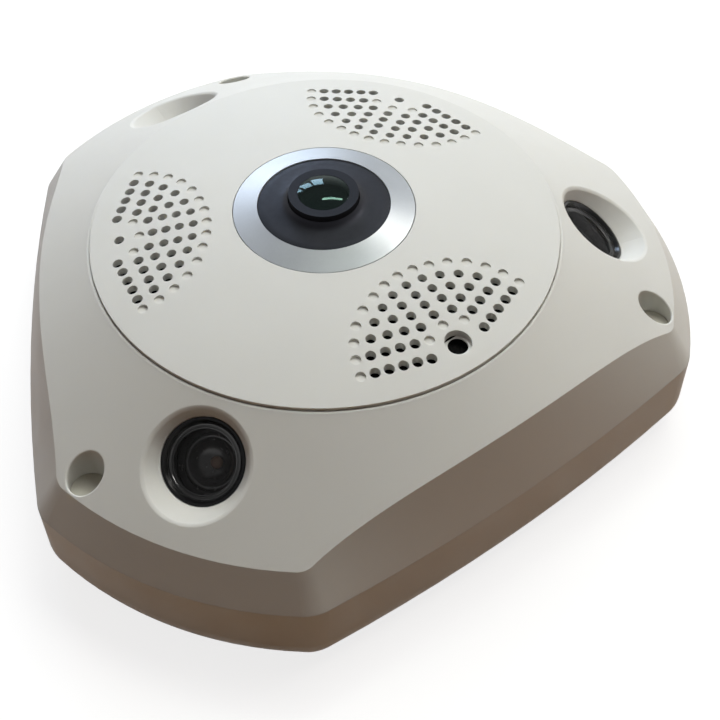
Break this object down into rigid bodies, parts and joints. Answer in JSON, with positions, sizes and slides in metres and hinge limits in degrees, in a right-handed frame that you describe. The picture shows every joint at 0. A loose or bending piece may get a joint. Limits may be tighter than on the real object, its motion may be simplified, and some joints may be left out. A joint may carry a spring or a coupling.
{
  "type": "fisheye ip camera",
  "caption": "Low three-lobed ceiling camera with a wide-angle lens in a domed perforated disc, and tilted infrared lamps in its lobes.",
  "frame": {"origin": "centre of the mounting screw circle, on the flat mounting face, under the lens", "axes": "+Z from the mounting face out through the lens; -Y towards the flat whose dot zone holds the microphone port"},
  "size_m": [0.1626, 0.1502, 0.0544],
  "materials": {
    "white_cover": "fine matte texture",
    "white_base": "matte powder coat on die-cast aluminium",
    "silver": "satin anodised",
    "black_shroud": "matte",
    "black_metal": "black anodised",
    "optical_glass": "polished and coated",
    "dark_window": "infrared-passing, glossy",
    "reflector": "smoked gloss",
    "red_glass": "infrared-cut coating",
    "rubber": "matte",
    "foam": "soft",
    "cloth": "fine woven mesh",
    "steel": "plated",
    "aluminium": "plain",
    "board": "solder mask",
    "component": "moulded",
    "terminal": "moulded",
    "copper": "enamelled winding"
  },
  "bodies": {
    "housing": {"base_housing": "white_base", "bezel_ring": "silver", "cable_grommet": "rubber", "card_socket": "steel", "cover_gasket": "rubber", "cover_screws": "steel", "drive_coil": "copper", "drive_core": "steel", "dust_mesh": "cloth", "filter_guide": "component", "front_cover": "white_cover", "grille_disc": "white_cover", "heat_spreader": "aluminium", "image_sensor": "component", "inner_frame": "aluminium", "inner_frame_screws": "steel", "lamp_1_emitter_board": "aluminium", "lamp_1_heat_bracket": "aluminium", "lamp_1_hood": "black_shroud", "lamp_1_reflector": "reflector", "lamp_1_window": "dark_window", "lamp_2_emitter_board": "aluminium", "lamp_2_heat_bracket": "aluminium", "lamp_2_hood": "black_shroud", "lamp_2_reflector": "reflector", "lamp_2_window": "dark_window", "lamp_3_emitter_board": "aluminium", "lamp_3_heat_bracket": "aluminium", "lamp_3_hood": "black_shroud", "lamp_3_reflector": "reflector", "lamp_3_window": "dark_window", "lamp_seals": "rubber", "lens_barrel": "black_metal", "lens_front_glass": "optical_glass", "lens_holder": "component", "lens_lock_ring": "black_metal", "lens_rear_glass": "optical_glass", "lens_shroud": "black_shroud", "main_board": "board", "main_board_screws": "steel", "microphone": "aluminium", "microphone_boot": "rubber", "network_socket": "component", "processor": "component", "reset_switch": "component", "sensor_board": "board", "sensor_board_screws": "steel", "side_outlet_plug": "white_base", "speaker_basket": "steel", "speaker_enclosure": "component", "speaker_foam_ring": "foam", "speaker_magnet": "steel", "terminal_blocks": "terminal"},
    "filter_slider": {"filter_frame": "component", "infrared_cut_glass": "red_glass", "clear_glass": "optical_glass"},
    "filter_drive": {"filter_arm": "component"},
    "speaker_diaphragm": {"speaker_cone": "component"},
    "card": {"memory_card": "component"},
    "reset_plunger": {"reset_button": "component"}
  },
  "joints": [
    {"name": "filter_drive_turn", "type": "hinge", "parent": "housing", "child": "filter_drive", "pos_m": [0, -0.01408, 0.0302], "axis": [0, 0, 1], "range_deg": [0, 44]},
    {"name": "filter_slide", "type": "slide", "parent": "housing", "child": "filter_slider", "axis": [-1, 0, 0], "range_m": [0, 0.0068]},
    {"name": "speaker_cone_stroke", "type": "slide", "parent": "housing", "child": "speaker_diaphragm", "axis": [-0.1394, 0.0805, 0.987], "range_m": [-0.0004, 0.0004], "stiffness_N_per_m": 1000},
    {"name": "card_slide", "type": "slide", "parent": "housing", "child": "card", "axis": [0, -1, 0], "range_m": [-0.0008, 0.014]},
    {"name": "reset_press", "type": "slide", "parent": "housing", "child": "reset_plunger", "axis": [0, 0, -1], "range_m": [0, 0.0003], "stiffness_N_per_m": 5000}
  ],
  "couplings": [
    {"joint": "filter_drive_turn", "follows": "filter_slide", "rad_per_m": 112.93}
  ]
}
